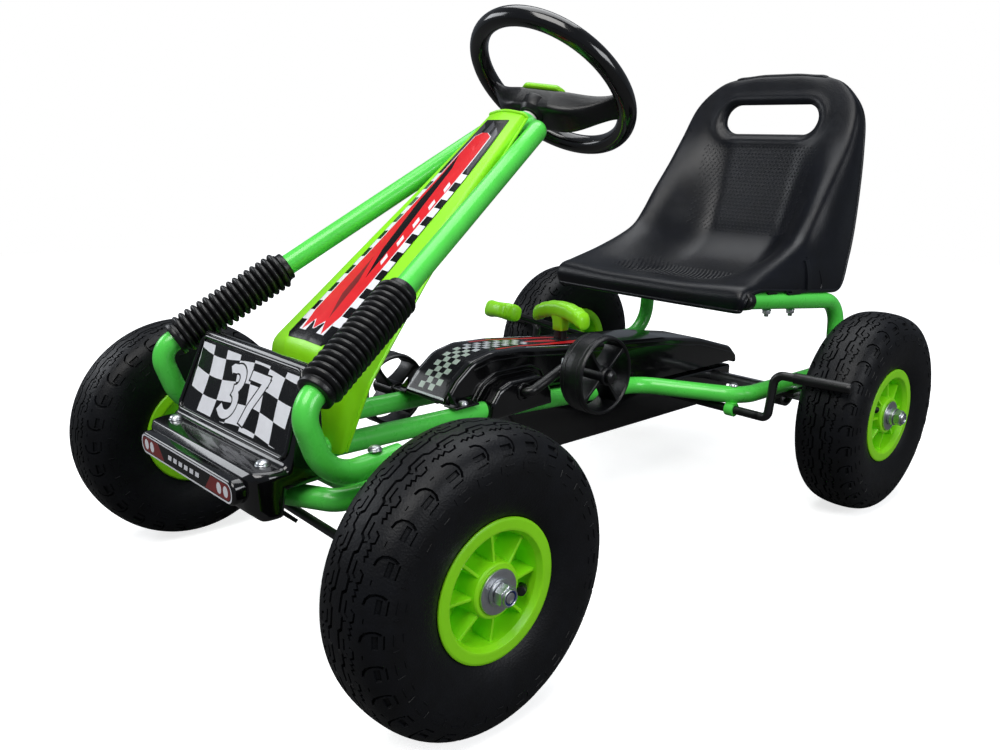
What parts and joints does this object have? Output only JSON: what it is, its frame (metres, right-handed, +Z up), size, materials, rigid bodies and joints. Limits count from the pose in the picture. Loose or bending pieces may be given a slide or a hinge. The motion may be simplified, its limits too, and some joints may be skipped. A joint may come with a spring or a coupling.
{
  "type": "pedal go kart",
  "caption": "Child's pedal go kart with chain drive, steering wheel on twin support tubes, moulded bucket seat, hand brake and air tyres on ribbed rims.",
  "frame": {"origin": "on the ground under the middle of the bounding box, 25 mm behind the middle of the wheelbase", "axes": "+Z up, -Y towards the nose, +X to the kart's left"},
  "size_m": [0.632, 0.997, 0.6099],
  "materials": {
    "tyre_rubber": "moulded matt black rubber, block tread",
    "lime_plastic": "moulded lime green plastic, semi gloss",
    "black_rubber": "black rubber, satin",
    "bearing_steel": "ground bearing steel",
    "green_powder_coat": "bright green powder coat, glossy",
    "black_gloss_plastic": "black moulded plastic, high gloss",
    "seat_plastic": "black blow moulded plastic, satin with dimple texture",
    "black_satin_plastic": "black moulded plastic, satin",
    "white_nylon": "natural nylon",
    "zinc_steel": "bright zinc plated steel",
    "chain_steel": "dark oiled steel",
    "black_painted_steel": "black paint on steel, satin"
  },
  "bodies": {
    "root": {"bellows_left": "black_rubber", "bellows_right": "black_rubber", "bumper_strip": "black_gloss_plastic", "chain_cover": "black_gloss_plastic", "chain_tray": "black_gloss_plastic", "column_cover": "lime_plastic", "column_head_sleeve": "green_powder_coat", "drive_chain": "chain_steel", "frame_bolts": "zinc_steel", "frame_brackets": "green_powder_coat", "frame_rail_left": "green_powder_coat", "frame_rail_right": "green_powder_coat", "front_axle_beam": "green_powder_coat", "kingpin_bolts": "zinc_steel", "lower_bumper_tube": "green_powder_coat", "nose_panel": "black_gloss_plastic", "nylon_bushes": "white_nylon", "rear_axle_bearings": "bearing_steel", "rear_bearing_housings": "black_painted_steel", "seat_bolts": "zinc_steel", "seat_mounting_blocks": "black_satin_plastic", "seat_shell": "seat_plastic", "seat_tube_plugs": "black_satin_plastic", "steering_support_left": "green_powder_coat", "steering_support_right": "green_powder_coat"},
    "steering": {"steering_column": "black_painted_steel", "steering_wheel": "black_satin_plastic", "steering_wheel_cap": "lime_plastic"},
    "knuckle_left": {"knuckle_left": "black_painted_steel", "hub_nut_left": "zinc_steel"},
    "knuckle_right": {"knuckle_right": "black_painted_steel", "hub_nut_right": "zinc_steel"},
    "tie_rod_left": {"tie_rod_left": "black_painted_steel"},
    "tie_rod_right": {"tie_rod_right": "black_painted_steel"},
    "wheel_front_left": {"tyre_front_left": "tyre_rubber", "rim_front_left": "lime_plastic", "valve_front_left": "black_rubber", "wheel_bearings_front_left": "bearing_steel"},
    "wheel_front_right": {"tyre_front_right": "tyre_rubber", "rim_front_right": "lime_plastic", "valve_front_right": "black_rubber", "wheel_bearings_front_right": "bearing_steel"},
    "rear_axle": {"rear_axle": "zinc_steel", "rear_sprocket": "chain_steel", "rear_axle_nuts": "zinc_steel", "tyre_rear_left": "tyre_rubber", "rim_rear_left": "lime_plastic", "valve_rear_left": "black_rubber"},
    "wheel_rear_right": {"tyre_rear_right": "tyre_rubber", "rim_rear_right": "lime_plastic", "valve_rear_right": "black_rubber", "wheel_bearings_rear_right": "bearing_steel"},
    "crank": {"crankshaft": "black_painted_steel", "crank_sprocket": "chain_steel"},
    "pedal_left": {"pedal_left": "black_satin_plastic"},
    "pedal_right": {"pedal_right": "black_satin_plastic"},
    "gear_lever": {"gear_lever": "black_painted_steel", "gear_lever_handle": "lime_plastic"},
    "brake": {"brake_linkage": "black_painted_steel", "brake_handle": "lime_plastic"}
  },
  "joints": [
    {"name": "steering", "type": "hinge", "parent": "root", "child": "steering", "pos_m": [0, -0.0145, 0.5311], "axis": [0, 0.6921, 0.7218], "range_deg": [-50, 50]},
    {"name": "knuckle_left", "type": "hinge", "parent": "root", "child": "knuckle_left", "pos_m": [0.185, -0.369, 0.13], "axis": [0, 0, 1], "range_deg": [-25, 25]},
    {"name": "tie_rod_left", "type": "hinge", "parent": "knuckle_left", "child": "tie_rod_left", "pos_m": [0.185, -0.413, 0.134], "axis": [0, 0, 1], "range_deg": [-25, 25]},
    {"name": "wheel_front_left", "type": "hinge", "parent": "knuckle_left", "child": "wheel_front_left", "pos_m": [0.26, -0.369, 0.13], "axis": [1, 0, 0], "continuous": true},
    {"name": "knuckle_right", "type": "hinge", "parent": "root", "child": "knuckle_right", "pos_m": [-0.185, -0.369, 0.13], "axis": [0, 0, 1], "range_deg": [-25, 25]},
    {"name": "tie_rod_right", "type": "hinge", "parent": "knuckle_right", "child": "tie_rod_right", "pos_m": [-0.185, -0.413, 0.134], "axis": [0, 0, 1], "range_deg": [-25, 25]},
    {"name": "wheel_front_right", "type": "hinge", "parent": "knuckle_right", "child": "wheel_front_right", "pos_m": [-0.26, -0.369, 0.13], "axis": [1, 0, 0], "continuous": true},
    {"name": "rear_axle", "type": "hinge", "parent": "root", "child": "rear_axle", "pos_m": [0, 0.319, 0.13], "axis": [1, 0, 0], "continuous": true},
    {"name": "wheel_rear_right", "type": "hinge", "parent": "rear_axle", "child": "wheel_rear_right", "pos_m": [-0.266, 0.319, 0.13], "axis": [1, 0, 0], "continuous": true},
    {"name": "crank", "type": "hinge", "parent": "root", "child": "crank", "pos_m": [0, -0.111, 0.1925], "axis": [1, 0, 0], "continuous": true},
    {"name": "pedal_left", "type": "hinge", "parent": "crank", "child": "pedal_left", "pos_m": [0.115, -0.051, 0.2145], "axis": [1, 0, 0], "continuous": true},
    {"name": "pedal_right", "type": "hinge", "parent": "crank", "child": "pedal_right", "pos_m": [-0.115, -0.171, 0.1705], "axis": [1, 0, 0], "continuous": true},
    {"name": "gear_lever", "type": "hinge", "parent": "root", "child": "gear_lever", "pos_m": [0, 0.013, 0.217], "axis": [1, 0, 0], "range_deg": [-12, 12]},
    {"name": "brake", "type": "hinge", "parent": "root", "child": "brake", "pos_m": [0, 0.175, 0.135], "axis": [-1, 0, 0], "range_deg": [0, 2.2]}
  ],
  "couplings": [
    {"joint": "knuckle_left", "follows": "steering", "ratio": 0.5},
    {"joint": "knuckle_right", "follows": "steering", "ratio": 0.5},
    {"joint": "tie_rod_left", "follows": "steering", "ratio": -0.5},
    {"joint": "tie_rod_right", "follows": "steering", "ratio": -0.5},
    {"joint": "crank", "follows": "rear_axle", "ratio": 0.875}
  ]
}
